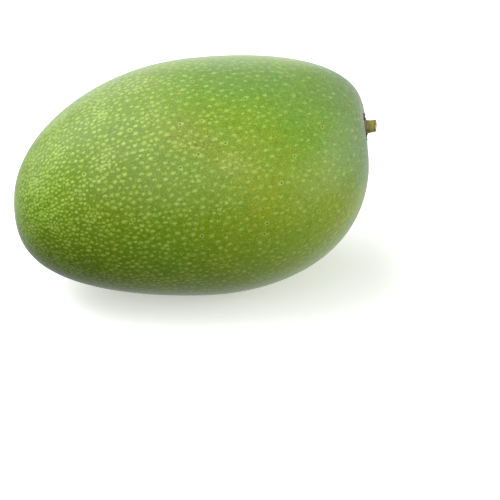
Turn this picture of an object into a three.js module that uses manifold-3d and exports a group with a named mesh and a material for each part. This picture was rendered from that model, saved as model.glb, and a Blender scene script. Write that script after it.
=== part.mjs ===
// A whole green mango, picked with a short stub of stem, lying on one cheek.
//
// Millimetres, +Z up. The long axis runs along X with the stem end at +X. The
// fruit rests on the plane z = 0, on the small flat that its own weight presses
// into the lower cheek. The origin is in that flat, under the centre of mass.

import * as THREE from 'three';
import { mergeVertices } from 'three/addons/utils/BufferGeometryUtils.js';
import Module from 'manifold-3d';

// ---- driving dimensions -------------------------------------------------

// The grown body: a long ovoid, a little flattened from cheek to cheek.
const LENGTH = 128.4;
const WIDTH = 90;                 // back to belly, along Y
const THICKNESS = 82.9;           // cheek to cheek, along Z
const BLUNTNESS = 0.78;           // power of the profile: 1 is an ellipse, less is blunter
const STEM_END_BLUNTNESS = 0.075; // how much blunter the stem end is than the middle
const STEM_END_FULLNESS = 0.083;  // share by which the girth grows towards the stem end

// The two ends don't sit on the middle line, and the stem end is cut askew:
// one shoulder stands further out than the other.
const SHOULDER_SKEW_Y = 0.17;     // mm of +X for each mm of +Y
const SHOULDER_SKEW_Z = 0.02;     // mm of +X for each mm of +Z
const STEM_END_SHIFT = { y: 2, z: 4.4 };
const TIP_SHIFT = { y: -4.9, z: -6 };

// Slow swells of the skin, as shares of the local radius.
const SWELL = 0.003;

// Where the middle of the body stands over the origin. The full lower cheek
// would reach 0.6 mm below the surface: this is what the resting flat takes off.
const BODY_MIDDLE = { x: -3, y: -0.2, z: 40.9 };

// The stem seat, as a direction from the middle of the body, and its dimple.
const SEAT_POLAR = THREE.MathUtils.degToRad(19.7);
const SEAT_AZIMUTH = THREE.MathUtils.degToRad(96.7);
const DIMPLE_DEPTH = 2.2;
const DIMPLE_RADIUS = 9.3;

// The stub of stem: a root, a wide foot, a tapered shaft and a cut end. All
// heights at the stem are over the bottom of the dimple.
const STEM_ROOT_DEPTH = 3;
const STEM_ROOT_RADIUS = 2;
const STEM_FOOT_RADIUS = 2.5;
const STEM_FOOT_HEIGHT = 0.9;
const STEM_NECK_RADIUS = 2.2;
const STEM_NECK_HEIGHT = 2.2;
const STEM_END_RADIUS = 1.95;
const STEM_LENGTH = 5;
const STEM_RIDGES = 5;
const STEM_RIDGE_HEIGHT = 0.12;
const STEM_BEND = 0.02;           // mm aside for each squared mm over its start
const STEM_BEND_START = 1;
const STEM_BEND_SIDE = new THREE.Vector3(0, 0, 1);
const CUT_BEVEL = 0.2;            // of the bark's edge
const CUT_HOLLOW = 0.1;           // how far the pith has sunk

// The corky scar of the calyx, a thin lobed ring round the foot of the stem.
const SCAR_RADIUS = 4.9;
const SCAR_LOBES = 5;
const SCAR_LOBE_HEIGHT = 0.35;
const SCAR_INNER_HEIGHT = 1.3;    // beside the stem
const SCAR_OUTER_HEIGHT = 0.7;    // at its rim
const SCAR_EDGE = 0.2;            // how far its edges are rounded off
const SCAR_BED_DEPTH = 0.3;       // of the shallow bed that the ring lies in

const GAP = 0.3;                  // kept between pieces that touch
const CUTTER_HEIGHT = 4;          // enough to come out of the dimple

// Fineness of the meshes.
const SKIN_DETAIL = 16;
const ROUND_SEGMENTS = 40;

const SKIN_GREEN = 0x86a83f;
const CORK_BROWN = 0x6b5138;
const BARK_OLIVE = 0x8f8446;

// ---- the skin as a formula ----------------------------------------------

const smoothstep = THREE.MathUtils.smoothstep;

/** Polar angle of the profile for an even share (0 to 1) of the way from the
 *  stem end to the tip. It crowds the angles at the blunt stem end, so that an
 *  even mesh of directions becomes an even mesh of skin. */
function profileAngle(share) {
  const fromStem = Math.pow(share, 1.5);
  const fromTip = Math.pow(1 - share, 1.15);
  return Math.PI * fromStem / (fromStem + fromTip);
}

/** Swell of the skin in one direction, as a share of the radius. */
function swell(direction) {
  const { x, y, z } = direction;
  return SWELL * (Math.sin(4.1 * x + 2.3 * z + 0.6) + Math.sin(3.2 * y - 4.7 * x + 2.1)
    + 0.6 * Math.sin(6.3 * z + 4.4 * y + 3.7));
}

/** Point of the grown body in a unit direction, without the stem dimple. */
function bodyPoint(direction) {
  const angle = profileAngle(Math.acos(THREE.MathUtils.clamp(direction.x, -1, 1)) / Math.PI);
  const along = Math.cos(angle);
  const power = BLUNTNESS - STEM_END_BLUNTNESS * along;
  const girth = Math.pow(Math.sin(angle), power) * (1 + STEM_END_FULLNESS * along) * (1 + swell(direction));
  const round = Math.max(Math.hypot(direction.y, direction.z), 1e-9);
  const y = WIDTH / 2 * girth * direction.y / round;
  const z = THICKNESS / 2 * girth * direction.z / round;
  const stemward = Math.max(along, 0) ** 2;
  const tipward = Math.max(-along, 0) ** 2;
  return new THREE.Vector3(
    LENGTH / 2 * along + (SHOULDER_SKEW_Y * y + SHOULDER_SKEW_Z * z) * stemward + BODY_MIDDLE.x,
    y + STEM_END_SHIFT.y * stemward + TIP_SHIFT.y * tipward + BODY_MIDDLE.y,
    z + STEM_END_SHIFT.z * stemward + TIP_SHIFT.z * tipward + BODY_MIDDLE.z);
}

/** Unit direction at a polar angle from +X and an azimuth from +Y to +Z. */
function directionAt(polar, azimuth) {
  return new THREE.Vector3(
    Math.cos(polar), Math.sin(polar) * Math.cos(azimuth), Math.sin(polar) * Math.sin(azimuth));
}

const seatPoint = bodyPoint(directionAt(SEAT_POLAR, SEAT_AZIMUTH));
const seatNormal = outwardNormal(SEAT_POLAR, SEAT_AZIMUTH);

/** Outward normal of the grown body, from two short steps along the skin. */
function outwardNormal(polar, azimuth) {
  const step = 0.02;
  const down = bodyPoint(directionAt(polar + step, azimuth)).sub(bodyPoint(directionAt(polar - step, azimuth)));
  const round = bodyPoint(directionAt(polar, azimuth + step)).sub(bodyPoint(directionAt(polar, azimuth - step)));
  return down.cross(round).normalize();
}

/** How far the dimple sinks the skin at a point of the grown body. */
function dimple(point) {
  const reach = point.distanceTo(seatPoint) / DIMPLE_RADIUS;
  return DIMPLE_DEPTH * Math.exp(-reach * reach);
}

/** Point of the skin in a unit direction. */
function skinPoint(direction) {
  const point = bodyPoint(direction);
  return point.addScaledVector(seatNormal, -dimple(point));
}

// ---- booleans -----------------------------------------------------------

const wasm = await Module();
wasm.setup();

/** A closed three.js geometry as a solid that can be joined or cut. */
function solidOf(geometry) {
  const bare = geometry.clone();
  bare.deleteAttribute('normal');
  bare.deleteAttribute('uv');
  const merged = mergeVertices(bare, 1e-4);
  return new wasm.Manifold(new wasm.Mesh({
    numProp: 3,
    vertProperties: Float32Array.from(merged.attributes.position.array),
    triVerts: Uint32Array.from(merged.index.array),
  }));
}

/** A solid as a three.js geometry. */
function geometryOf(solid) {
  const { vertProperties, triVerts } = solid.getMesh();
  const geometry = new THREE.BufferGeometry();
  geometry.setAttribute('position', new THREE.Float32BufferAttribute(vertProperties, 3));
  geometry.setIndex(Array.from(triVerts));
  geometry.computeVertexNormals();
  return geometry;
}

// ---- pieces that stand on the stem seat ---------------------------------

const seatTurn = new THREE.Quaternion().setFromUnitVectors(new THREE.Vector3(0, 1, 0), seatNormal);
const seat = new THREE.Matrix4().compose(
  seatPoint.clone().addScaledVector(seatNormal, -DIMPLE_DEPTH), seatTurn, new THREE.Vector3(1, 1, 1));
const bendSide = STEM_BEND_SIDE.clone().applyQuaternion(seatTurn.clone().invert()).setY(0).normalize();

/** A turned piece about the seat's axis. Its profile is a list of radius and
 *  height, and shape() may move each of its points. */
function turnedOnSeat(profile, shape = () => {}) {
  const geometry = new THREE.LatheGeometry(profile.map(([radius, height]) => new THREE.Vector2(radius, height)),
    ROUND_SEGMENTS);
  const positions = geometry.attributes.position;
  const point = new THREE.Vector3();
  for (let index = 0; index < positions.count; index += 1) {
    point.fromBufferAttribute(positions, index);
    shape(point, Math.atan2(point.z, point.x));
    positions.setXYZ(index, point.x, point.y, point.z);
  }
  return geometry.applyMatrix4(seat);
}

/** Bends the shaft over to one side, and turns its rings with it. */
function bend(point) {
  const above = Math.max(point.y - STEM_BEND_START, 0);
  const slope = 2 * STEM_BEND * above;
  point.y -= slope * (point.x * bendSide.x + point.z * bendSide.z);
  point.x += STEM_BEND * above * above * bendSide.x;
  point.z += STEM_BEND * above * above * bendSide.z;
}

/** The stub: a root in its socket, a wide foot, a ridged shaft, a cut end. */
function stemGeometry() {
  const profile = [
    [0, -STEM_ROOT_DEPTH],
    [STEM_ROOT_RADIUS, -STEM_ROOT_DEPTH],
    [STEM_FOOT_RADIUS, -SCAR_BED_DEPTH],
    [STEM_FOOT_RADIUS, STEM_FOOT_HEIGHT],
    [STEM_NECK_RADIUS, STEM_NECK_HEIGHT],
    [(STEM_NECK_RADIUS + STEM_END_RADIUS) / 2, (STEM_NECK_HEIGHT + STEM_LENGTH) / 2],
    [STEM_END_RADIUS, STEM_LENGTH - CUT_BEVEL],
    [STEM_END_RADIUS - CUT_BEVEL, STEM_LENGTH],
    [0, STEM_LENGTH - CUT_HOLLOW],
  ];
  return turnedOnSeat(profile, (point, turn) => {
    const shaft = smoothstep(point.y, STEM_FOOT_HEIGHT, STEM_NECK_HEIGHT);
    const ridge = STEM_RIDGE_HEIGHT * shaft * Math.cos(STEM_RIDGES * turn);
    const grown = 1 + ridge / STEM_END_RADIUS;
    point.x *= grown;
    point.z *= grown;
    bend(point);
  });
}

/** Spreads points near the rim of the scar into its five lobes, the stumps of
 *  the sepals. Points at the stem stay where they are. */
function lobe(point, turn) {
  const radius = Math.hypot(point.x, point.z);
  const rim = smoothstep(radius, STEM_FOOT_RADIUS + GAP, SCAR_RADIUS);
  const lobed = radius + rim * SCAR_LOBE_HEIGHT * Math.cos(SCAR_LOBES * turn);
  point.x *= lobed / Math.max(radius, 1e-9);
  point.z *= lobed / Math.max(radius, 1e-9);
}

/** The scar: a thin ring, higher beside the stem, with a lobed rim. */
function scarGeometry() {
  const inner = STEM_FOOT_RADIUS + GAP;
  const middle = (inner + SCAR_RADIUS) / 2;
  const bottom = GAP - SCAR_BED_DEPTH;
  const profile = [
    [inner, bottom],
    [SCAR_RADIUS, bottom],
    [SCAR_RADIUS, SCAR_OUTER_HEIGHT - SCAR_EDGE],
    [SCAR_RADIUS - SCAR_EDGE, SCAR_OUTER_HEIGHT],
    [middle, (SCAR_INNER_HEIGHT + SCAR_OUTER_HEIGHT) / 2],
    [inner + SCAR_EDGE, SCAR_INNER_HEIGHT],
    [inner, SCAR_INNER_HEIGHT - SCAR_EDGE],
    [inner, bottom],
  ];
  return turnedOnSeat(profile, lobe);
}

/** What is cut from the fruit for them: the bed of the scar, and below it a
 *  plain socket for the root of the stem. */
function seatCutter() {
  const socket = STEM_FOOT_RADIUS + GAP;
  const bed = SCAR_RADIUS + GAP;
  return turnedOnSeat([
    [0, -STEM_ROOT_DEPTH - GAP],
    [socket, -STEM_ROOT_DEPTH - GAP],
    [socket, -SCAR_BED_DEPTH],
    [bed, -SCAR_BED_DEPTH],
    [bed, CUTTER_HEIGHT],
    [0, CUTTER_HEIGHT],
  ], lobe);
}

// ---- the fruit ----------------------------------------------------------

/** Skin, flesh and stone grew as one: an even mesh of directions is laid on the
 *  skin formula, the resting flat is cut off below, and the seat is cut in. */
function fruitGeometry() {
  const geometry = new THREE.IcosahedronGeometry(1, SKIN_DETAIL);
  const positions = geometry.attributes.position;
  const direction = new THREE.Vector3();
  for (let index = 0; index < positions.count; index += 1) {
    direction.fromBufferAttribute(positions, index).normalize();
    const point = skinPoint(direction);
    positions.setXYZ(index, point.x, point.y, point.z);
  }
  const below = new THREE.BoxGeometry(2 * LENGTH, 2 * WIDTH, THICKNESS);
  below.translate(0, 0, -THICKNESS / 2);
  return geometryOf(solidOf(geometry).subtract(solidOf(below)).subtract(solidOf(seatCutter())));
}

// ---- the assembly -------------------------------------------------------

/** One named piece with a material of its own. */
function piece(name, geometry, color, roughness) {
  const mesh = new THREE.Mesh(geometry, new THREE.MeshStandardMaterial({ color, roughness, metalness: 0 }));
  mesh.name = name;
  return mesh;
}

const mango = new THREE.Group();
mango.name = 'mango';
mango.add(
  piece('fruit', fruitGeometry(), SKIN_GREEN, 0.42),
  piece('calyx_scar', scarGeometry(), CORK_BROWN, 0.85),
  piece('stem', stemGeometry(), BARK_OLIVE, 0.75));

export default mango;
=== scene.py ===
# %% [markdown]
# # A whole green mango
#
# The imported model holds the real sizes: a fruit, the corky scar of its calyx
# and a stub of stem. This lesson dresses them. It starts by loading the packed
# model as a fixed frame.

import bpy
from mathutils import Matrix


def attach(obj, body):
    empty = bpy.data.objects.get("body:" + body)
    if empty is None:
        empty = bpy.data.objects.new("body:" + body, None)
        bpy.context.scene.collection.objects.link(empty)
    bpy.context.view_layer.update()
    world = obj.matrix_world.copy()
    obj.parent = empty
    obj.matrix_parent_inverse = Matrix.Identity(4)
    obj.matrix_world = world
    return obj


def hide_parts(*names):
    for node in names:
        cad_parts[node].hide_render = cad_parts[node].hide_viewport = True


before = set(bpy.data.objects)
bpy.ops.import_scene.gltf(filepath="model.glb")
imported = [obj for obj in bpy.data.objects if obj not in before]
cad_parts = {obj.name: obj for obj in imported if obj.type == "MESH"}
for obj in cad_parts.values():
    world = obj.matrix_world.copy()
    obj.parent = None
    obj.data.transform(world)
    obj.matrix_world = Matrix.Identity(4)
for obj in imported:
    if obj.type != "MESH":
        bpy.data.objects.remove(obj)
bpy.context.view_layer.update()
print("packed nodes:", sorted(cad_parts))

# %% [markdown]
# ## Units and small helpers
#
# A fruit is easiest to describe in millimetres, while Blender works in metres.
# Every shape below is worked out in millimetres as a table of points, one row
# a point, and is scaled once, when its mesh is made. Tables of points are
# quick: a formula runs once for the whole skin and not once for each vertex.

# %% Helpers for tables of points
import bmesh
import bpy
import math
import numpy as np
from mathutils import Vector, kdtree, noise

MM = 0.001


def smoothstep(value, low, high):
    """0 below low, 1 above high, and a soft step between them."""
    share = np.clip((np.asarray(value, float) - low) / (high - low), 0, 1)
    return share * share * (3 - 2 * share)


def columns(*parts):
    """Numbers or tables side by side, as points."""
    return np.stack(np.broadcast_arrays(*parts), -1)


def piece_from(name, points, faces):
    """A mesh object from points in millimetres, shaded smooth."""
    mesh = bpy.data.meshes.new(name)
    mesh.from_pydata((np.asarray(points) * MM).tolist(), [], faces)
    mesh.validate()
    mesh.shade_smooth()
    made = bpy.data.objects.new(name, mesh)
    bpy.context.scene.collection.objects.link(made)
    size = np.ptp(np.asarray(points), axis=0)
    print(f"{name}: {len(mesh.polygons)} faces, {size.round(1)} mm")
    return made


# %% [markdown]
# ## The camera
#
# A long lens stands well back and a little above the fruit, so the mango keeps
# its true proportions. The camera is placed by three plain facts: how far it is
# turned from facing along +Y, how steeply it looks down, and how far away it
# is. It looks at a point beside the fruit, which sets the fruit up and to the
# left in the picture, with no lens shift.

# %% Camera
BODY_MIDDLE = np.array([-3.0, -0.2, 40.9])
CAMERA_TURN = math.radians(-7.8)
CAMERA_DROP = math.radians(26.0)
CAMERA_DISTANCE = 835
AIM_RIGHT = 19.8
AIM_UP = -26.35
LENS = 169
SIGHT = 20  # metres


def camera_back():
    """Unit vector from the fruit to the camera."""
    flat = math.cos(CAMERA_DROP)
    return Vector((math.sin(CAMERA_TURN) * flat, -math.cos(CAMERA_TURN) * flat, math.sin(CAMERA_DROP)))


def add_camera():
    back = camera_back()
    right = Vector((math.cos(CAMERA_TURN), math.sin(CAMERA_TURN), 0))
    up = back.cross(right)
    middle = Vector(BODY_MIDDLE)
    place = middle + back * CAMERA_DISTANCE
    aim = middle + right * AIM_RIGHT + up * AIM_UP
    data = bpy.data.cameras.new("camera")
    data.lens = LENS
    data.clip_end = SIGHT
    camera = bpy.data.objects.new("camera", data)
    camera.location = place * MM
    camera.rotation_euler = (aim - place).to_track_quat("-Z", "Y").to_euler()
    bpy.context.scene.collection.objects.link(camera)
    bpy.context.scene.camera = camera
    print("camera at", [round(value, 3) for value in camera.location])


add_camera()

# %% [markdown]
# ## The form of the fruit
#
# A mango is a long ovoid, a little flattened from cheek to cheek. Its stem end
# is blunter than its tip and is cut askew, so one shoulder stands further out.
# A box of subdivided faces could be pulled into that form by hand, but the
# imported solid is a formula, and the skin has to lie exactly where the solid
# is. So the same formula is written here for tables of points: it takes unit
# directions from the middle of the body and gives points of the skin.

# %% The body as a formula
LENGTH = 128.4
WIDTH = 90
THICKNESS = 82.9
BLUNTNESS = 0.78
STEM_END_BLUNTNESS = 0.075
STEM_END_FULLNESS = 0.083
CROWDING_AT_STEM = 1.5
CROWDING_AT_TIP = 1.15
SHOULDER_SKEW = (0.17, 0.02)
STEM_END_SHIFT = (2, 4.4)
TIP_SHIFT = (-4.9, -6)
SWELL_HEIGHT = 0.003
SWELL_WAVES = [(1, (4.1, 0, 2.3), 0.6), (1, (-4.7, 3.2, 0), 2.1), (0.6, (0, 4.4, 6.3), 3.7)]
TINY = 1e-9


def profile_angle(share):
    """Polar angle of the profile for an even share of the way to the tip."""
    from_stem = share ** CROWDING_AT_STEM
    from_tip = (1 - share) ** CROWDING_AT_TIP
    return math.pi * from_stem / (from_stem + from_tip)


def swell(directions):
    """Slow swells of the skin, as shares of the local radius: three waves, each
    with its share, its way and its start."""
    waves = [share * np.sin(directions @ way + start) for share, way, start in SWELL_WAVES]
    return SWELL_HEIGHT * sum(waves)


def body_points(directions):
    """Points of the grown body, without the dimple at the stem."""
    x, across, up = directions.T
    angle = profile_angle(np.arccos(np.clip(x, -1, 1)) / math.pi)
    along = np.cos(angle)
    power = BLUNTNESS - STEM_END_BLUNTNESS * along
    girth = np.sin(angle) ** power * (1 + STEM_END_FULLNESS * along) * (1 + swell(directions))
    round_by = np.maximum(np.hypot(across, up), TINY)
    y = WIDTH / 2 * girth * across / round_by
    z = THICKNESS / 2 * girth * up / round_by
    stemward = np.maximum(along, 0) ** 2
    tipward = np.maximum(-along, 0) ** 2
    points = columns(
        LENGTH / 2 * along + (SHOULDER_SKEW[0] * y + SHOULDER_SKEW[1] * z) * stemward,
        y + STEM_END_SHIFT[0] * stemward + TIP_SHIFT[0] * tipward,
        z + STEM_END_SHIFT[1] * stemward + TIP_SHIFT[1] * tipward)
    return points + BODY_MIDDLE


print("body", LENGTH, "by", WIDTH, "by", THICKNESS, "mm")

# %% [markdown]
# ## The seat of the stem
#
# The stem stands in a shallow dimple, off the middle of the blunt end. Its
# place and its outward normal come from the body formula, by short steps to
# all four sides along the skin. Everything that grows there is modelled
# upright, about its own axis, and `on_seat` turns it into place.

# %% Seat and dimple
SEAT_POLAR = math.radians(19.7)
SEAT_AZIMUTH = math.radians(96.7)
DIMPLE_DEPTH = 2.2
DIMPLE_RADIUS = 9.3
SEAT_STEP = 0.02


def direction_at(polar, azimuth):
    """Unit directions from polar angles off +X and azimuths from +Y to +Z."""
    return columns(np.cos(polar), np.sin(polar) * np.cos(azimuth), np.sin(polar) * np.sin(azimuth))


def seat_place():
    """Point and outward normal of the grown body where the stem stands."""
    polar = SEAT_POLAR + SEAT_STEP * np.array([0, 1, -1, 0, 0])
    azimuth = SEAT_AZIMUTH + SEAT_STEP * np.array([0, 0, 0, 1, -1])
    middle, down, up, left, right = body_points(direction_at(polar, azimuth))
    normal = np.cross(down - up, left - right)
    return middle, normal / np.linalg.norm(normal)


seat_point, seat_normal = seat_place()
seat_base = seat_point - DIMPLE_DEPTH * seat_normal
seat_turn = Vector((0, 1, 0)).rotation_difference(Vector(seat_normal))


def on_seat(points):
    """Points about an upright Y axis, turned and moved onto the seat."""
    return points @ np.array(seat_turn.to_matrix()).T + seat_base


def side_on_seat(side):
    """A sideways direction as seen from the seat: unit X and Z about its axis."""
    turned = seat_turn.inverted() @ Vector(side)
    return np.array([turned.x, turned.z]) / math.hypot(turned.x, turned.z)


def skin_points(directions):
    """Points of the skin, with the dimple."""
    points = body_points(directions)
    reach = np.linalg.norm(points - seat_point, axis=1) / DIMPLE_RADIUS
    return points - DIMPLE_DEPTH * np.exp(-reach ** 2)[:, None] * seat_normal


print("stem seat at", seat_base.round(1), "facing", seat_normal.round(2))

# %% [markdown]
# ## The skin
#
# A globe of rings and segments would crowd its faces at the two poles, and the
# stem stands right beside one of them. A cube whose faces are cut into a fine
# grid and then blown up into a ball has even squares everywhere. Its corners
# are taken as angles before they become directions, which evens them further.
# Where the fruit rests, its own weight has pressed a small flat.

# %% Skin mesh
SKIN_CUTS = 126
CUBE_REACH = math.pi / 4


def cube_ball(cuts):
    """Unit directions and square faces of a finely cut cube."""
    cube = bmesh.new()
    bmesh.ops.create_cube(cube, size=2)
    bmesh.ops.subdivide_edges(cube, edges=cube.edges[:], cuts=cuts, use_grid_fill=True)
    corners = np.array([corner.co[:] for corner in cube.verts])
    cube.verts.index_update()
    faces = [[corner.index for corner in face.verts] for face in cube.faces]
    cube.free()
    spread = np.tan(corners * CUBE_REACH)
    return spread / np.linalg.norm(spread, axis=1)[:, None], faces


def make_skin():
    directions, faces = cube_ball(SKIN_CUTS)
    points = skin_points(directions)
    flat = np.count_nonzero(points[:, 2] < 0)
    points[:, 2] = np.maximum(points[:, 2], 0)
    print(f"resting flat: {flat} points")
    return piece_from("mango_skin", points, faces)


skin = make_skin()
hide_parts("fruit")
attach(skin, "root")

# %% [markdown]
# ## Scattering the lenticels
#
# The skin breathes through lenticels, small pale dots of cork. They crowd at
# the tip and thin out towards the stem, with looser and denser drifts between.
# They never touch: each keeps the next one at a distance. A Voronoi pattern cut
# by a curved skin can't keep that distance, so the dots are thrown here like
# darts, in a seeded order, and a dart too close to another is dropped. A
# coarse grid of boxes makes the search quick.

# %% Throw the darts
SCATTER_SEED = 7
SPACING_AT_TIP = 0.75
SPACING_AT_STEM = 3.6
DRIFT_SIZE = 8
DRIFT_STRENGTH = 0.5
DRIFT_SEED = 5

tip_point = skin_points(direction_at(math.pi, [0]))[0]


def face_table(mesh, name):
    """One vector of every face, as a table."""
    table = np.empty(len(mesh.polygons) * 3)
    mesh.polygons.foreach_get(name, table)
    return table.reshape(-1, 3)


def grain(points, size, seed):
    """Smooth random values, one for each point, about -1 to 1, with bumps of a
    size in millimetres. The seed moves the pattern."""
    return np.array([noise.noise(Vector(point) / size + Vector((seed, 0, 0))) for point in points])


def stemward_share(points):
    """How far along the fruit points are, from 0 at the tip to 1 at the stem."""
    from_tip = np.linalg.norm(points - tip_point, axis=1)
    to_stem = np.linalg.norm(points - seat_base, axis=1)
    return from_tip / (from_tip + to_stem)


def spacing_at(points):
    """Least distance between lenticels at points of the skin."""
    even = SPACING_AT_TIP + (SPACING_AT_STEM - SPACING_AT_TIP) * stemward_share(points)
    return even * (1 + DRIFT_STRENGTH * grain(points, DRIFT_SIZE, DRIFT_SEED))


def throw_darts(points, spacings):
    """Rows of points that keep their spacing, taken greedily in their order."""
    box = spacings.max()
    homes = np.floor(points / box).astype(int)
    steps = [(i, j, k) for i in (-1, 0, 1) for j in (-1, 0, 1) for k in (-1, 0, 1)]
    kept = {}
    for row, (home, point, spacing) in enumerate(zip(homes.tolist(), points.tolist(), spacings)):
        x, y, z = home
        around = [other for i, j, k in steps for other in kept.get((x + i, y + j, z + k), ())]
        if all(math.dist(point, other[1]) >= spacing for other in around):
            kept.setdefault((x, y, z), []).append((row, point))
    return [row for rows in kept.values() for row, point in rows]


print("tip at", tip_point.round(1))

# %% [markdown]
# ## The size, tone and lie of each lenticel
#
# The dots are finest at the tip, and one is larger or paler than the next. All
# of them are a little longer than wide, and lie along the lines in which the
# fruit grew. These lines leave the tip on all sides and gather again at the
# stem, so at any place they run away from the tip and towards the stem, and
# more so the nearer either one is.

# %% Scatter the lenticels
REACH_LEAST = 0.29
REACH_MOST = 0.58
REACH_AT_TIP = 0.80
FINER_ZONE = (0.1, 0.4)
JITTER = 0.2


def growth_lines(points, normals):
    """Unit directions along the skin from the tip towards the stem."""
    from_tip = points - tip_point
    to_stem = seat_base - points
    pull = from_tip / (from_tip ** 2).sum(1)[:, None] + to_stem / (to_stem ** 2).sum(1)[:, None]
    flat = pull - (pull * normals).sum(1)[:, None] * normals
    return flat / np.linalg.norm(flat, axis=1)[:, None]


def scatter_lenticels(mesh):
    """Places in millimetres, looks (reach, paleness, warmth) and lie."""
    chance = np.random.default_rng(SCATTER_SEED)
    order = chance.permutation(len(mesh.polygons))
    centres = face_table(mesh, "center")[order] / MM
    centres = centres + chance.uniform(-JITTER, JITTER, centres.shape)
    rows = throw_darts(centres, spacing_at(centres))
    places = centres[rows]
    luck = chance.random((len(rows), 3))
    finer = REACH_AT_TIP + (1 - REACH_AT_TIP) * smoothstep(stemward_share(places), *FINER_ZONE)
    reach = (REACH_LEAST + luck[:, 0] * (REACH_MOST - REACH_LEAST)) * finer
    lie = growth_lines(places, face_table(mesh, "normal")[order][rows])
    print(f"{len(rows)} lenticels")
    return places, columns(reach, luck[:, 1], luck[:, 2]), lie


# %% [markdown]
# ## Dark specks
#
# Here and there a lenticel has dried out to a dark pin speck in a pale ring.
# The ones on the cheek that shows are listed one by one. The rest are thrown as
# darts again, far apart.

# %% Scatter the specks
SPECK_SPACING = 17
CHEEK_SPECKS = [
    (-3.5, -26.5, 74.5), (-11, -26.5, 74), (3.5, -33.5, 69), (-6, -35.5, 66.5), (-12.5, -37.5, 63),
    (27, -35, 63), (21.5, -40.5, 56), (16, -44.5, 43), (15, -44.5, 39), (30, -16.5, 77.5),
    (38.5, -25, 68.5), (42, -30.5, 28.5), (55.5, -9.6, 63.1), (56.3, -7.9, 62.1)]


def scatter_specks(mesh):
    chance = np.random.default_rng(SCATTER_SEED)
    centres = face_table(mesh, "center")[chance.permutation(len(mesh.polygons))] / MM
    places = np.concatenate([np.array(CHEEK_SPECKS, float), centres])
    by_hand = np.arange(len(places)) < len(CHEEK_SPECKS)
    rows = sorted(throw_darts(places, np.where(by_hand, 0, SPECK_SPACING)))
    print(f"{len(rows)} specks")
    return places[rows]


# %% [markdown]
# ## Handing the dots to the material
#
# A dot is smaller than two squares of the skin mesh, too small to paint on its
# corners. But every face can carry the place and look of the lenticel nearest
# to it. The material then works out, for each point of skin, how far that
# lenticel is, which draws a dot as sharp or as soft as it should be.

# %% Faces that know their dots
def nearest_rows(places, points):
    """Row of the nearest place for each point."""
    tree = kdtree.KDTree(len(places))
    for row, place in enumerate(places):
        tree.insert(place, row)
    tree.balance()
    return [tree.find(point)[1] for point in points]


def write_faces(mesh, name, values):
    layer = mesh.attributes.new(name, "FLOAT_VECTOR", "FACE")
    layer.data.foreach_set("vector", np.asarray(values, np.float32).ravel())


def give_dots(mesh):
    centres = face_table(mesh, "center") / MM
    places, looks, lie = scatter_lenticels(mesh)
    nearest = nearest_rows(places, centres)
    write_faces(mesh, "lenticel_place", places[nearest])
    write_faces(mesh, "lenticel_look", looks[nearest])
    write_faces(mesh, "lenticel_lie", lie[nearest])
    places = scatter_specks(mesh)
    write_faces(mesh, "speck_place", places[nearest_rows(places, centres)])


give_dots(skin.data)

# %% [markdown]
# ## Turned pieces at the seat
#
# The stem and its scar are round pieces with a profile, so both are turned:
# rings of points about an upright axis, joined by square faces. A modifier
# could spin a profile too, but a formula can then move each point, and that is
# where ridges, bark and crumbled edges come from.

# %% Turned pieces
def resample(profile, count):
    """Evenly spaced points along a profile of radius and height."""
    profile = np.array(profile, float)
    steps = np.linalg.norm(np.diff(profile, axis=0), axis=1)
    reached = np.concatenate([[0], np.cumsum(steps)])
    at = np.linspace(0, reached[-1], count)
    return np.interp(at, reached, profile[:, 0]), np.interp(at, reached, profile[:, 1])


def turned_faces(rings, segments):
    """Square faces between rings of points."""
    faces = []
    for ring in range(rings - 1):
        for segment in range(segments):
            here = ring * segments + segment
            beside = ring * segments + (segment + 1) % segments
            faces.append([here, here + segments, beside + segments, beside])
    return faces


def turned_grid(profile, rings, segments):
    """Radius, height and turn of every point of a turned piece."""
    radius, height = resample(profile, rings)
    turn = np.arange(segments) * 2 * math.pi / segments
    radius = np.repeat(radius, segments)
    height = np.repeat(height, segments)
    return radius, height, np.tile(turn, rings)


def rough(points, layers):
    """Layers of grain on top of each other, each with its height, size and seed."""
    return sum(height * grain(points, size, seed) for height, size, seed in layers)


# %% [markdown]
# ## The scar of the calyx
#
# Where the flower's five sepals stood, a thin ring of cork is left round the
# foot of the stem. It lies in the dimple and follows its slope, so the height
# of the skin under each point comes first. On top of that the cork is crumbly,
# highest beside the stem, and runs out in five low lobes, the stumps of the
# sepals, with dry curled tips.

# %% Scar mesh
STEM_FOOT_RADIUS = 2.5
SCAR_RADIUS = 4.9
SCAR_LOBES = 5
SCAR_LOBE_HEIGHT = 0.35
SCAR_INNER_RADIUS = STEM_FOOT_RADIUS - 0.15
ROOT_DEPTH = 0.4
SCAR_PROFILE = [
    (SCAR_INNER_RADIUS, -ROOT_DEPTH), (SCAR_INNER_RADIUS, 1.1), (SCAR_INNER_RADIUS + 0.4, 1.2),
    (3.6, 0.75), (SCAR_RADIUS - 0.3, 0.30), (SCAR_RADIUS, 0.15), (SCAR_RADIUS, -ROOT_DEPTH)]
SCAR_SEGMENTS = 160
SCAR_RINGS = 44
SCAR_CRUMBS = [(0.20, 0.9, 3), (0.11, 0.35, 11)]
LOBE_TIP_RADIUS = 4.8
LOBE_TIP_WIDTH = 0.34
LOBE_TIP_HEIGHT = 0.65
LOBE_TIP_SHARPNESS = 8
OUT_OF_SKIN = (-0.2, 0.15)
NEARBY_POLAR = 0.3
NEARBY_AZIMUTH = 0.9
NEARBY_STEPS = 90


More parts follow.
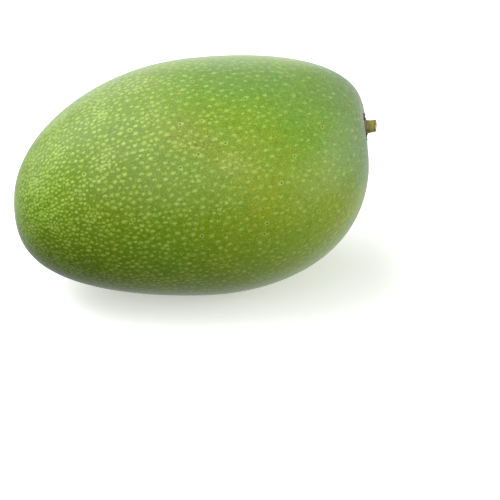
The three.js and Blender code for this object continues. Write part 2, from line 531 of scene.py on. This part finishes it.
def skin_height(flat):
    """How high the skin is over the seat, under points about its axis."""
    polar = SEAT_POLAR + np.linspace(-NEARBY_POLAR, NEARBY_POLAR, NEARBY_STEPS)
    azimuth = SEAT_AZIMUTH + np.linspace(-NEARBY_AZIMUTH, NEARBY_AZIMUTH, NEARBY_STEPS)
    nearby = skin_points(direction_at(*np.meshgrid(polar, azimuth)).reshape(-1, 3))
    nearby = (nearby - seat_base) @ np.array(seat_turn.to_matrix())
    return nearby[nearest_rows(nearby * (1, 0, 1), flat * (1, 0, 1)), 1]


def make_scar():
    radius, height, turn = turned_grid(SCAR_PROFILE, SCAR_RINGS, SCAR_SEGMENTS)
    rim = smoothstep(radius, SCAR_INNER_RADIUS, SCAR_RADIUS)
    lobes = np.cos(SCAR_LOBES * turn)
    radius = radius + rim * SCAR_LOBE_HEIGHT * lobes
    flat = columns(radius * np.cos(turn), height, radius * np.sin(turn))
    crumble = rough(flat, SCAR_CRUMBS)
    tip = np.exp(-((radius - LOBE_TIP_RADIUS) / LOBE_TIP_WIDTH) ** 2)
    tip = LOBE_TIP_HEIGHT * tip * np.maximum(lobes, 0) ** LOBE_TIP_SHARPNESS
    free = smoothstep(height, *OUT_OF_SKIN)
    radius = radius + free * rim * crumble
    height = height + skin_height(flat) + free * (crumble + tip)
    points = columns(radius * np.cos(turn), height, radius * np.sin(turn))
    return piece_from("calyx_scar_cork", on_seat(points), turned_faces(SCAR_RINGS, SCAR_SEGMENTS))


scar = make_scar()
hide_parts("calyx_scar")
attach(scar, "root")

# %% [markdown]
# ## The stub of stem
#
# The stem is woody and was cut across a few millimetres above the fruit. It has
# a wide foot, five soft ridges, fine lengthwise wrinkles, and a cut face with
# a raised bark rim and a sunken pith. The knife left the cut oblique, shorter
# on its lower near side. The stem curves up very slightly, and its rings are
# turned with the curve.

# %% Stem mesh
STEM_FOOT_HEIGHT = 0.9
STEM_NECK_RADIUS = 2.2
STEM_NECK_HEIGHT = 2.2
STEM_END_RADIUS = 1.95
STEM_LENGTH = 5
STEM_RIDGES = 5
STEM_RIDGE_HEIGHT = 0.12
STEM_BEND = 0.02
STEM_BEND_START = 1
STEM_BEND_SIDE = side_on_seat((0, 0, 1))
STEM_PROFILE = [
    (STEM_FOOT_RADIUS - 0.1, -ROOT_DEPTH), (STEM_FOOT_RADIUS, 0.5),
    (STEM_FOOT_RADIUS, STEM_FOOT_HEIGHT), (STEM_NECK_RADIUS, STEM_NECK_HEIGHT),
    (STEM_END_RADIUS, STEM_LENGTH - 0.15), (STEM_END_RADIUS - 0.1, STEM_LENGTH),
    (STEM_END_RADIUS - 0.35, STEM_LENGTH - 0.05), (0.7, STEM_LENGTH - 0.12),
    (0.5, STEM_LENGTH - 0.3), (0.02, STEM_LENGTH - 0.34)]
STEM_SEGMENTS = 144
STEM_RINGS = 120
BARK_STRETCH = 0.28
BARK_WRINKLES = [(0.11, 0.8, 5), (0.06, 0.33, 17)]
BARK_KNOBS = [(0.05, 0.5, 29)]
BARK_RADII = (1.2, 1.8)
BARK_HEIGHTS = (0.3, 1)
CUT_SIDE = side_on_seat((0, -0.85, -0.5))
CUT_SLOPE = 0.24
CUT_DROP = 0.06
CUT_HEIGHTS = (STEM_LENGTH - 0.9, STEM_LENGTH - 0.2)


def bend(points):
    """Leans the shaft over to one side and turns its rings with it."""
    x, y, z = points.T
    side_x, side_z = STEM_BEND_SIDE
    above = np.maximum(y - STEM_BEND_START, 0)
    aside = STEM_BEND * above ** 2
    turned = y - 2 * STEM_BEND * above * (x * side_x + z * side_z)
    return columns(x + aside * side_x, turned, z + aside * side_z)


def slant(x, z):
    """How far the oblique cut lies under the stem's full length."""
    return CUT_SLOPE * (x * CUT_SIDE[0] + z * CUT_SIDE[1] + STEM_END_RADIUS)


def make_stem():
    radius, height, turn = turned_grid(STEM_PROFILE, STEM_RINGS, STEM_SEGMENTS)
    x, z = radius * np.cos(turn), radius * np.sin(turn)
    outer = smoothstep(radius, *BARK_RADII)
    ridge = smoothstep(height, STEM_FOOT_HEIGHT, STEM_NECK_HEIGHT) * np.cos(STEM_RIDGES * turn)
    bark = rough(columns(x, height * BARK_STRETCH, z), BARK_WRINKLES)
    knobs = rough(columns(x, height, z), BARK_KNOBS)
    radius = radius * (1 + ridge * STEM_RIDGE_HEIGHT / STEM_END_RADIUS)
    radius = radius + outer * smoothstep(height, *BARK_HEIGHTS) * (bark + knobs)
    height = height - smoothstep(height, *CUT_HEIGHTS) * (slant(x, z) + CUT_DROP + (1 - outer) * knobs)
    points = columns(radius * np.cos(turn), height, radius * np.sin(turn))
    return piece_from("stem_stub", on_seat(bend(points)), turned_faces(STEM_RINGS, STEM_SEGMENTS))


stem = make_stem()
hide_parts("stem")
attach(stem, "root")

# %% [markdown]
# ## Writing a material as sums
#
# A material is a graph of nodes, but it reads best as arithmetic. `Wire` wraps
# one output of a node and overloads the operators, so `1 - mask` adds a Math
# node by itself, on whichever side of the sign the wire stands.

# %% Wires
class Wire:
    """One output of a node, which can be used in sums."""

    def __init__(self, finish, socket):
        self.finish = finish
        self.socket = socket

    def also(self, name):
        """Another output of the same node."""
        return Wire(self.finish, self.socket.node.outputs[name])

    def math(self, operation, first, second):
        return self.finish.add("ShaderNodeMath", {"operation": operation}, {0: first, 1: second})

    def __add__(self, other):
        return self.math("ADD", self, other)

    def __sub__(self, other):
        return self.math("SUBTRACT", self, other)

    def __mul__(self, other):
        return self.math("MULTIPLY", self, other)

    def __truediv__(self, other):
        return self.math("DIVIDE", self, other)

    def __rsub__(self, other):
        return self.math("SUBTRACT", other, self)

    def __pow__(self, other):
        return self.math("POWER", self, other)

    __radd__ = __add__
    __rmul__ = __mul__

    def clamp(self, most):
        """The value, but not below 0 or above a limit."""
        return self.finish.add("ShaderNodeClamp", None, {0: self, 1: 0, 2: most})

    def step(self, low, high):
        """A soft step from 0 at low to 1 at high."""
        settings = {"interpolation_type": "SMOOTHSTEP"}
        return self.finish.add("ShaderNodeMapRange", settings, {0: self, 1: low, 2: high})


# %% [markdown]
# ## Materials, one node at a time
#
# `Finish` owns one material, or the world round the fruit, and has a single
# method that adds any node: its settings first, then the values or wires of its
# sockets. Colours are mixed by Mix nodes, because a Math node would turn them
# grey.

# %% Finishes
class Finish:
    """One material, or another thing with a node tree."""

    def __init__(self, name, library=bpy.data.materials):
        self.owner = library.new(name)
        self.owner.use_nodes = True
        self.nodes = self.owner.node_tree.nodes
        self.links = self.owner.node_tree.links
        self.nodes.clear()

    def add(self, kind, settings=None, inputs=None, out=0):
        """Adds a node, sets it up, feeds its sockets, and returns one output."""
        node = self.nodes.new(kind)
        for name, value in (settings or {}).items():
            setattr(node, name, value)
        for name, value in (inputs or {}).items():
            if isinstance(value, Wire):
                self.links.new(value.socket, node.inputs[name])
            else:
                node.inputs[name].default_value = value
        return Wire(self, node.outputs[out]) if node.outputs else node

    def mix(self, share, first, second):
        """Two colours mixed. A mix of colours has its sockets at 0, 6 and 7."""
        first = first if isinstance(first, Wire) else (*first, 1)
        second = second if isinstance(second, Wire) else (*second, 1)
        return self.add("ShaderNodeMix", {"data_type": "RGBA"}, {0: share, 6: first, 7: second}, out=2)

    def noise(self, place, size, detail=2, roughness=0.5):
        """Smooth noise from 0 to 1, with features of a size in millimetres."""
        inputs = {"Vector": place, "Scale": 1 / size, "Detail": detail, "Roughness": roughness}
        return self.add("ShaderNodeTexNoise", None, inputs)

    def close(self, inputs, height=None):
        """Ends the tree in a Principled shader, with a bump from a height in millimetres."""
        if height is not None:
            inputs["Normal"] = self.add("ShaderNodeBump", None, {"Height": height, "Distance": MM})
        shader = self.add("ShaderNodeBsdfPrincipled", None, inputs)
        self.add("ShaderNodeOutputMaterial", None, {"Surface": shader})
        print(f"{self.owner.name}: {len(self.nodes)} nodes")
        return self.owner


# %% [markdown]
# ## Places on the fruit, in millimetres
#
# Every pattern on the fruit hangs on where a point is, not on an unwrapped
# picture, so nothing stretches or shows a seam. `place_mm` gives a point's
# place in millimetres; its parts tell how far it is towards the stem end, and
# how far it is from the seat of the stem.

# %% Places
def place_mm(finish):
    """A point's place in millimetres."""
    place = finish.add("ShaderNodeTexCoord", out="Object")
    return finish.add("ShaderNodeVectorMath", {"operation": "SCALE"}, {0: place, "Scale": 1 / MM})


def parts(finish, place):
    """The X, Y and Z of a place."""
    x = finish.add("ShaderNodeSeparateXYZ", None, {0: place})
    return x, x.also("Y"), x.also("Z")


def vector_math(finish, operation, first, second, out=0):
    """A Vector Math node on two vectors."""
    return finish.add("ShaderNodeVectorMath", {"operation": operation}, {0: first, 1: second}, out=out)


# %% [markdown]
# ## The look of a dot
#
# The distance to the nearest lenticel, measured shorter along its lie than
# across, makes two masks: the pale dot, and the skin between dots, which is
# darker, partly its own deeper green and partly painted shade of the slightly
# sunken skin there. A speck makes two as well: its dark heart and its pale ring.
# A little noise in the distance roughens every edge.

# %% Masks of the dots
LENTICEL_STRETCH = 1.5
LENTICEL_EDGE = (0.35, 1.45)
BETWEEN_SHADE_EDGE = (0.90, 2.00)
LENTICEL_FAINTEST = 0.35
LENTICEL_ROUGHNESS = {"size": 0.8, "strength": 0.5}
SPECK_EDGE = (0.22, 0.48)
RING_EDGE = (0.55, 1.05)
SPECK_ROUGHNESS = {"size": 0.5, "strength": 0.35}


def attribute(finish, name):
    return finish.add("ShaderNodeAttribute", {"attribute_name": name}, out="Vector")


def roughened(finish, place, away, size, strength):
    """A distance with a little noise in it, up and down alike."""
    return away + (finish.noise(place, size, detail=1) - 0.5) * strength


def lenticels(finish, place):
    """Masks of the pale dots and of the painted shade on the skin between them, and their warmth."""
    offset = vector_math(finish, "SUBTRACT", place, attribute(finish, "lenticel_place"))
    length = vector_math(finish, "LENGTH", offset, (0, 0, 0), "Value")
    along = vector_math(finish, "DOT_PRODUCT", offset, attribute(finish, "lenticel_lie"), "Value")
    away = (length * length - along * along * (1 - LENTICEL_STRETCH ** -2)) ** 0.5
    away = roughened(finish, place, away, **LENTICEL_ROUGHNESS)
    reach, paleness, warmth = parts(finish, attribute(finish, "lenticel_look"))
    dot = 1 - (away / reach).step(*LENTICEL_EDGE)
    between = (away / reach).step(*BETWEEN_SHADE_EDGE)
    return dot * (LENTICEL_FAINTEST + paleness * (1 - LENTICEL_FAINTEST)), between, warmth


def specks(finish, place):
    """Masks of the dark hearts of the specks and of their pale rings."""
    away = vector_math(finish, "DISTANCE", place, attribute(finish, "speck_place"), "Value")
    away = roughened(finish, place, away, **SPECK_ROUGHNESS)
    return 1 - away.step(*SPECK_EDGE), 1 - away.step(*RING_EDGE)


# %% [markdown]
# ## Patches on the skin
#
# The skin's colours lie in patches. A mask painted by hand would need the skin
# to be unwrapped, so a patch is worked out instead: it has a middle on the
# fruit and a reach, and it is the distance to its middle, taken through a soft
# step. Noise moves every place about before that, so the edges get ragged.

# %% Patches
PATCH_CORE = 2


def near_any(finish, place, spots):
    """The sum of soft round patches at several spots, each with its reach."""
    total = 0
    for spot, reach in spots.items():
        away = vector_math(finish, "DISTANCE", place, spot, "Value")
        total = total + (1 - away.step(PATCH_CORE, reach))
    return total


def wander(finish, place, size, reach):
    """A place moved about by noise, so that what is round there gets ragged."""
    cloud = finish.noise(place, size, detail=3, roughness=0.6).also("Color")
    centred = vector_math(finish, "SUBTRACT", cloud, (0.5, 0.5, 0.5))
    push = vector_math(finish, "MULTIPLY", centred, (2 * reach, 2 * reach, 2 * reach))
    return vector_math(finish, "ADD", place, push)


# %% [markdown]
# ## The greens
#
# An unripe mango's skin is many greens at once. Broad clouds of warm
# yellow-green lie among cooler, bluer greens, and the tip is brightest. Where
# the skin has rubbed against leaves and twigs it is faintly russet.

# %% Greens
WARM_GREEN = (0.310, 0.395, 0.010)
COOL_GREEN = (0.195, 0.380, 0.018)
TIP_GREEN = (0.270, 0.460, 0.020)
RUSSET = (0.310, 0.330, 0.030)
WARM_SPOTS = {
    (7, -38, 63): 13, (13, -42, 54): 13, (21, -43, 47): 15, (-13, -29, 72): 12, (43, -30, 41): 18,
    (-25, 40, 50): 17, (25, 42, 43): 20, (-7, 8, 1): 26}
COOL_SPOTS = {
    (-1, -8, 82): 22, (14, -15, 80): 20, (28, -22, 75): 20, (32, -30, 66): 14, (-63, -20, 40): 18,
    (-22, -43, 34): 20, (1, 36, 66): 22, (-29, 30, 14): 24}
WARM_STRENGTH = 0.34
COOL_STRENGTH = 0.36
CLOUD_SIZE = 24
TIP_FROM_TO = (-66, -30)
RUB_SIZE = 13
RUBBED_FROM_TO = (0.58, 0.74)


def skin_colour(finish, place, patches):
    """The skin's own green, warmer or cooler from place to place."""
    ragged = wander(finish, place, size=7, reach=9)
    warmth = 0.08 + finish.noise(place, CLOUD_SIZE) * 0.35 + patches * 0.55
    warmth = warmth + near_any(finish, ragged, WARM_SPOTS) * WARM_STRENGTH
    warmth = warmth - near_any(finish, ragged, COOL_SPOTS) * COOL_STRENGTH
    tip = 1 - parts(finish, place)[0].step(*TIP_FROM_TO)
    rubbed = finish.noise(place, RUB_SIZE, detail=4, roughness=0.65).step(*RUBBED_FROM_TO)
    colour = finish.mix(warmth, COOL_GREEN, WARM_GREEN)
    colour = finish.mix(tip * 0.6, colour, TIP_GREEN)
    return finish.mix(rubbed * 0.35, colour, RUSSET)


print(len(WARM_SPOTS), "warm and", len(COOL_SPOTS), "cool patches")

# %% [markdown]
# ## The wax bloom, and a painted reflection
#
# A thin bloom of wax lies on the greens, bluish on the upper cheek and the
# shoulder, and grey round the stem. It is patchy, because leaves and hands wipe
# it off. Higher up the skin is also tinted bluer by height alone, partly bloom
# and partly a painted reflection of the bright light above. Skin under thick
# bloom is duller too, so the mask of the grey bloom is kept for the roughness.

# %% Wax bloom and painted reflection
BLOOM_AND_REFLECTION_BLUE = (0.170, 0.320, 0.110)
BLOOM_GREY = (0.215, 0.320, 0.190)
BLUE_SPOTS = {(10, -4, 82): 26, (34, -10, 76): 26, (50, -20, 58): 26}
GREY_SPOTS = {(54, 2, 68): 26, (56, -12, 52): 18}
BLUE_MOST = 0.75
GREY_MOST = 0.85
TOP_REFLECTION_FROM_TO = (45, 75)


def add_bloom_and_reflection(finish, place, patches, colour):
    """The colour under its bloom and a painted reflection on top, and the mask of the grey bloom."""
    ragged = wander(finish, place, size=10, reach=8)
    blue = near_any(finish, ragged, BLUE_SPOTS) * (0.30 + 0.60 * patches)
    grey = near_any(finish, ragged, GREY_SPOTS) * (0.45 + 0.60 * patches)
    top_reflection = parts(finish, place)[2].step(*TOP_REFLECTION_FROM_TO)
    # Bluer towards the top by height: partly bloom, partly a painted reflection of the bright light
    # above.
    colour = finish.mix(top_reflection * 0.15, colour, BLOOM_AND_REFLECTION_BLUE)
    colour = finish.mix(blue.clamp(BLUE_MOST), colour, BLOOM_AND_REFLECTION_BLUE)
    return finish.mix(grey.clamp(GREY_MOST), colour, BLOOM_GREY), grey


print(len(BLUE_SPOTS), "blue and", len(GREY_SPOTS), "grey patches of bloom")

# %% [markdown]
# ## The marks of age
#
# After months on the tree the skin has marks: a freckled cloud, a netted patch
# where something rubbed it, and a smear of old cork beside the scar. One fine
# grain draws them all, and they only differ in how much of it shows.

# %% Marks of age
FRECKLE_RUST = (0.380, 0.370, 0.045)
FRECKLE_DARK = (0.085, 0.100, 0.008)
NET_PINK = (0.480, 0.490, 0.120)
CORK_HALO = (0.400, 0.300, 0.260)
FRECKLED_SPOTS = {(-9.2, -30.2, 71.3): 11, (-3, -35, 67.5): 7}
NETTED_SPOTS = {(4.4, -38.1, 63.7): 6}
HALO_SPOTS = {(56.6, -6.8, 62.1): 4.2, (57.8, -3.2, 59.4): 4.6}
GRAIN_SIZE = 0.7


def add_old_marks(finish, place, colour):
    """Freckles and a netted patch on the cheek, and old cork beside the scar."""
    grains = finish.noise(place, GRAIN_SIZE, roughness=0.6)
    freckled = near_any(finish, wander(finish, place, size=5, reach=5), FRECKLED_SPOTS).clamp(1)
    netted = near_any(finish, wander(finish, place, size=2, reach=1.5), NETTED_SPOTS)
    halo = near_any(finish, wander(finish, place, size=1.6, reach=1.6), HALO_SPOTS).clamp(1)
    colour = finish.mix(freckled * 0.35, colour, FRECKLE_RUST)
    colour = finish.mix(freckled * grains.step(0.56, 0.66) * 0.7, colour, FRECKLE_DARK)
    colour = finish.mix(netted * grains.step(0.42, 0.56) * 0.55, colour, NET_PINK)
    return finish.mix(halo * (0.55 + 0.45 * grains.step(0.35, 0.55)), colour, CORK_HALO)


print(len(FRECKLED_SPOTS) + len(NETTED_SPOTS) + len(HALO_SPOTS), "old marks")

# %% [markdown]
# ## The skin's finish
#
# Over the greens, the bloom and the marks come, one after the other, a fine
# mottling, the darker skin between the lenticels, partly its own deeper green
# and partly painted shade of the sunken skin there, their pale dots, dark and
# pale flecks, and the specks. Most of them are stronger at the tip. The wax
# makes the skin softly glossy, which takes a thin coat, and its dust catches
# the light on the rims, which takes a little sheen.

# %% Skin finish
DEEP_GREEN = (0.090, 0.180, 0.004)
DOT_MINT = (0.420, 0.640, 0.165)
DOT_LIME = (0.480, 0.610, 0.120)
SPECK_BROWN = (0.060, 0.055, 0.012)
SHEEN_TINT = (0.70, 0.90, 1.0, 1.0)
WAX_IOR = 1.34
PATCH_SIZE = 8
MOTTLE_SIZE = 1.8
FLECK_SIZE = 0.45
TIPWARD_FROM_TO = (-60, 40)


def graded(tipward, at_stem, at_tip):
    """A strength that changes along the fruit, from the stem end to the tip."""
    return at_stem + tipward * (at_tip - at_stem)


def skin_finish():
    finish = Finish("green_mango_skin")
    place = place_mm(finish)
    patches = finish.noise(place, PATCH_SIZE, detail=3, roughness=0.55)
    colour = skin_colour(finish, place, patches)
    colour, bloom = add_bloom_and_reflection(finish, place, patches, colour)
    colour = add_old_marks(finish, place, colour)

    tipward = 1 - parts(finish, place)[0].step(*TIPWARD_FROM_TO)
    dot, between, dot_warmth = lenticels(finish, place)
    speck, ring = specks(finish, place)
    mottle = finish.noise(place, MOTTLE_SIZE, roughness=0.6)
    flecks = finish.noise(place, FLECK_SIZE, detail=1, roughness=0.6)
    pale = finish.mix(dot_warmth, DOT_MINT, DOT_LIME)
    layers = [
        (mottle.step(0.50, 0.75) * 0.30, DEEP_GREEN),
        ((1 - mottle.step(0.28, 0.50)) * 0.16, pale),
        # The skin between the dots is darker: partly its own deeper green, partly painted shade of the
        # sunken skin.
        (between * graded(tipward, 0.12, 0.62), DEEP_GREEN),
        (dot * graded(tipward, 0.62, 0.98), pale),
        (flecks.step(0.46, 0.68) * graded(tipward, 0.40, 0.62), DEEP_GREEN),
        ((1 - flecks.step(0.30, 0.46)) * graded(tipward, 0.20, 0.34), pale),
        (ring * 0.45, pale),
        (speck * 0.85, SPECK_BROWN)]
    for share, layer in layers:
        colour = finish.mix(share, colour, layer)

    rough_skin = 0.40 + dot * 0.10 + bloom * 0.10 + speck * 0.2
    height = dot * 0.05 + flecks * 0.03 - speck * 0.04 + patches * 0.12
    return finish.close({
        "Base Color": colour, "Roughness": rough_skin, "IOR": WAX_IOR,
        "Coat Weight": 0.25, "Coat Roughness": 0.20, "Coat IOR": WAX_IOR,
        "Sheen Weight": 0.16, "Sheen Roughness": 0.28, "Sheen Tint": SHEEN_TINT}, height)


skin.data.materials.append(skin_finish())

# %% [markdown]
# ## Places about the stem's axis
#
# The finishes of the scar and the stem are drawn about the stem's own axis,
# from how high a point stands over the seat and how far it is from the axis.

# %% Places about the stem's axis
def about_axis(finish, place):
    """Height over the seat and distance from the axis of the stem."""
    from_seat = vector_math(finish, "SUBTRACT", place, tuple(seat_base))
    height = vector_math(finish, "DOT_PRODUCT", from_seat, tuple(seat_normal), "Value")
    length = vector_math(finish, "LENGTH", from_seat, (0, 0, 0), "Value")
    radius = (length * length - height * height) ** 0.5
    return height, radius


# %% [markdown]
# ## Cork
#
# The scar is dry crumbly cork: pinkish on its upper side, olive brown below,
# brown where it meets the stem, with nearly black tips on its five lobes.

# %% Scar finish
CORK_PINK = (0.420, 0.330, 0.260)
CORK_OLIVE = (0.190, 0.175, 0.080)
CORK_BROWN = (0.120, 0.095, 0.045)
CORK_BLACK = (0.018, 0.013, 0.009)
CRUMB_SIZE = 0.55
STAIN_SIZE = 1.3
STEM_SIDE = (2.7, 3.1)
BLACK_HEIGHTS = (0.55, 0.75)
BLACK_RADII = (4.1, 4.6)


def scar_finish():
    finish = Finish("calyx_cork")
    place = place_mm(finish)
    height, radius = about_axis(finish, place)
    crumbs = finish.noise(place, CRUMB_SIZE, detail=3, roughness=0.6)
    stains = finish.noise(place, STAIN_SIZE)
    above = parts(finish, place)[2].step(seat_base[2] + 1, seat_base[2] + 3)
    beside_stem = 1 - radius.step(*STEM_SIDE)
    dark = (stains.step(0.48, 0.62) * 0.6 + beside_stem).step(0.2, 0.8)
    tips = height.step(*BLACK_HEIGHTS) * radius.step(*BLACK_RADII)
    pale = finish.mix(above, CORK_OLIVE, CORK_PINK)
    colour = finish.mix(crumbs.step(0.35, 0.65), CORK_BROWN, pale)
    colour = finish.mix(dark * 0.75, colour, CORK_BROWN)
    colour = finish.mix(tips, colour, CORK_BLACK)
    relief = crumbs * 0.16 + stains * 0.1
    return finish.close({"Base Color": colour, "Roughness": 0.85, "IOR": 1.4}, relief)


scar.data.materials.append(scar_finish())

# %% [markdown]
# ## Bark and wood
#
# The stem is still half green: olive bark that turns golden towards the cut,
# with brown streaks and a brown line at its foot and along the cut. The gold is
# partly the bark's tone and partly painted light, brighter colour standing in
# for light from below. The cut face is cream wood round a dark red middle, partly
# the pith and partly painted shadow in its sunken hollow, and so moved a little
# off the middle, back and up.

# %% Stem finish
BARK_OLIVE = (0.270, 0.260, 0.055)
BARK_GREEN = (0.170, 0.210, 0.042)
# The golden bark colour is partly the bark's tone and partly painted light from below.
BARK_GOLD_AND_LIGHT = (0.450, 0.380, 0.085)
BARK_BROWN = (0.140, 0.100, 0.020)
WOOD_CREAM = (0.600, 0.480, 0.240)
# The dark red of the pith is partly its own colour and partly painted shadow in its hollow.
PITH_RED_AND_SHADOW = (0.160, 0.090, 0.035)
PITH_SHADOW_SHIFT = (0, 0.4, 0.4)
STREAK_SIZE = 1.2
BARK_GRAIN_SIZE = 0.35
GOLD_AND_LIGHT_HEIGHTS = (1.8, 3.4)
FOOT_HEIGHTS = (0.6, 1.2)
PITH_SHADOW_EDGE = (0.5, 0.8)
WOOD_EDGE = (1.50, 1.65)
CUT_EDGE = (1.75, 1.85)
CUT_LINE = (-0.50, -0.30)
CUT_FACE = (-0.60, -0.50)


def on_cut(x, z):
    """A point of the cut, from its place about the stem's axis."""
    return on_seat(bend(np.array([[x, STEM_LENGTH - slant(x, z), z]])))[0]


cut_middle = on_cut(0, 0)
cut_normal = np.cross(on_cut(0, 1) - cut_middle, on_cut(1, 0) - cut_middle)
cut_normal = cut_normal / np.linalg.norm(cut_normal)


def stem_finish():
    finish = Finish("stem_wood")
    place = place_mm(finish)
    height, radius = about_axis(finish, place)
    from_cut = vector_math(finish, "SUBTRACT", place, tuple(cut_middle))
    over_cut = vector_math(finish, "DOT_PRODUCT", from_cut, tuple(cut_normal), "Value")
    from_middle = vector_math(finish, "DISTANCE", place, tuple(cut_middle), "Value")
    from_pith_shadow = vector_math(finish, "DISTANCE", place, tuple(cut_middle + PITH_SHADOW_SHIFT), "Value")
    streaks = finish.noise(place, STREAK_SIZE, detail=3, roughness=0.6)
    fine = finish.noise(place, BARK_GRAIN_SIZE, roughness=0.6)

    colour = finish.mix(streaks.step(0.42, 0.62), BARK_OLIVE, BARK_GREEN)
    # Golden towards the cut: partly the bark's tone, partly painted light standing in for light from
    # below.
    colour = finish.mix(height.step(*GOLD_AND_LIGHT_HEIGHTS) * 0.75, colour, BARK_GOLD_AND_LIGHT)
    colour = finish.mix(over_cut.step(*CUT_LINE) * 0.8, colour, BARK_BROWN)
    colour = finish.mix(fine.step(0.55, 0.75) * 0.6, colour, BARK_BROWN)
    colour = finish.mix((1 - height.step(*FOOT_HEIGHTS)) * 0.7, colour, BARK_BROWN)

    # The dark red middle of the cut is partly pith and partly painted shadow in its sunken hollow.
    wood = finish.mix(from_pith_shadow.step(*PITH_SHADOW_EDGE), PITH_RED_AND_SHADOW, WOOD_CREAM)
    wood = finish.mix(from_middle.step(*WOOD_EDGE) * 0.7, wood, BARK_BROWN)
    cut = over_cut.step(*CUT_FACE) * (1 - from_middle.step(*CUT_EDGE))
    colour = finish.mix(cut, colour, wood)
    relief = fine * 0.12 + streaks * 0.1
    return finish.close({"Base Color": colour, "Roughness": 0.7, "IOR": 1.45}, relief)


stem.data.materials.append(stem_finish())

# %% [markdown]
# ## The floor
#
# The fruit lies on a plain pale floor. It could throw its light back up and
# show in the skin's wax, but then the belly looks flat and blue. So this floor
# is seen by the camera and catches shadows, but neither sends light up to the
# fruit nor keeps light from it. It lies a hair under the resting flat, as two
# faces in one plane would flicker. Floor and lights are set out in metres.

# %% Floor
FLOOR_DROP = 0.00005
FLOOR_SIZE = 6
FLOOR_WHITE = (0.90, 0.90, 0.90, 1)
FLOOR_GLOW = 0.45


def add_floor():
    corners = [(-1, -1), (1, -1), (1, 1), (-1, 1)]
    half = FLOOR_SIZE / 2
    mesh = bpy.data.meshes.new("floor")
    mesh.from_pydata([(x * half, y * half, -FLOOR_DROP) for x, y in corners], [], [[0, 1, 2, 3]])
    floor = bpy.data.objects.new("floor", mesh)
    bpy.context.scene.collection.objects.link(floor)
    floor.visible_diffuse = False
    floor.visible_glossy = False
    floor.visible_shadow = False
    mesh.materials.append(Finish("pale_floor").close({
        "Base Color": FLOOR_WHITE, "Roughness": 1.0, "Specular IOR Level": 0.0,
        "Emission Color": FLOOR_WHITE, "Emission Strength": FLOOR_GLOW}))


add_floor()
print("floor", FLOOR_SIZE, "m square")

# %% [markdown]
# ## The lights
#
# Nine soft panels stand round the fruit, all a metre away. Each is placed by
# where it stands, in degrees round from +X and up from the floor. The main one
# is high on the tip's side. Those behind and at the right skim the skin and
# draw its pale rims, and those in front fill the cheeks.

# %% Panels
PANEL_SIZE = 0.8
PANEL_DISTANCE = 1.0
PANELS = {
    "main_panel": (180, 65, 5.9),
    "left_panel": (150, 25, 3.5),
    "back_left_panel": (122, 46, 3.7),
    "back_panel": (90, 12, 1.6),
    "right_panel": (0, 8, 2.1),
    "front_right_panel": (330, 8, 3.1),
    "front_panel": (270, 20, 2.5),
    "high_front_panel": (270, 50, 2.1),
    "front_left_panel": (225, 40, 3.2),
}


def direction_of(round_degrees, up_degrees):
    turn, rise = math.radians(round_degrees), math.radians(up_degrees)
    return Vector((math.cos(rise) * math.cos(turn), math.cos(rise) * math.sin(turn), math.sin(rise)))


def add_panel(name, round_degrees, up_degrees, power):
    """A soft square light that faces the fruit."""
    out = direction_of(round_degrees, up_degrees)
    data = bpy.data.lights.new(name, "AREA")
    data.shape = "SQUARE"
    data.size = PANEL_SIZE
    data.energy = power
    panel = bpy.data.objects.new(name, data)
    panel.location = Vector(BODY_MIDDLE * MM) + out * PANEL_DISTANCE
    panel.rotation_euler = (-out).to_track_quat("-Z", "Y").to_euler()
    bpy.context.scene.collection.objects.link(panel)


for panel, setting in PANELS.items():
    add_panel(panel, *setting)
bpy.context.scene.view_settings.view_transform = "Standard"
print(len(PANELS), "panels")

# %% [markdown]
# ## The glow from below
#
# A white table lights a fruit from below as well, most from where the table
# itself is bright. Two wide soft glows stand in for that light, one from the
# right and one from behind, both from under the level of the fruit. They
# belong to the world, and the floor lets them through.

# %% Glows from below
TENT_GLOWS = {(0, -25): 0.50, (90, -25): 0.57}
GLOW_SPREAD = (0.2, 0.95)


def add_tent():
    tent = Finish("light_tent", bpy.data.worlds)
    way = tent.add("ShaderNodeTexCoord", out="Generated")
    glow = 0
    for (round_degrees, up_degrees), strength in TENT_GLOWS.items():
        toward = vector_math(tent, "DOT_PRODUCT", way, direction_of(round_degrees, up_degrees), "Value")
        glow = glow + toward.step(*GLOW_SPREAD) * strength
    wall = tent.add("ShaderNodeBackground", None, {"Color": (1, 1, 1, 1), "Strength": glow})
    tent.add("ShaderNodeOutputWorld", None, {"Surface": wall})
    bpy.context.scene.world = tent.owner


add_tent()
print(len(TENT_GLOWS), "glows")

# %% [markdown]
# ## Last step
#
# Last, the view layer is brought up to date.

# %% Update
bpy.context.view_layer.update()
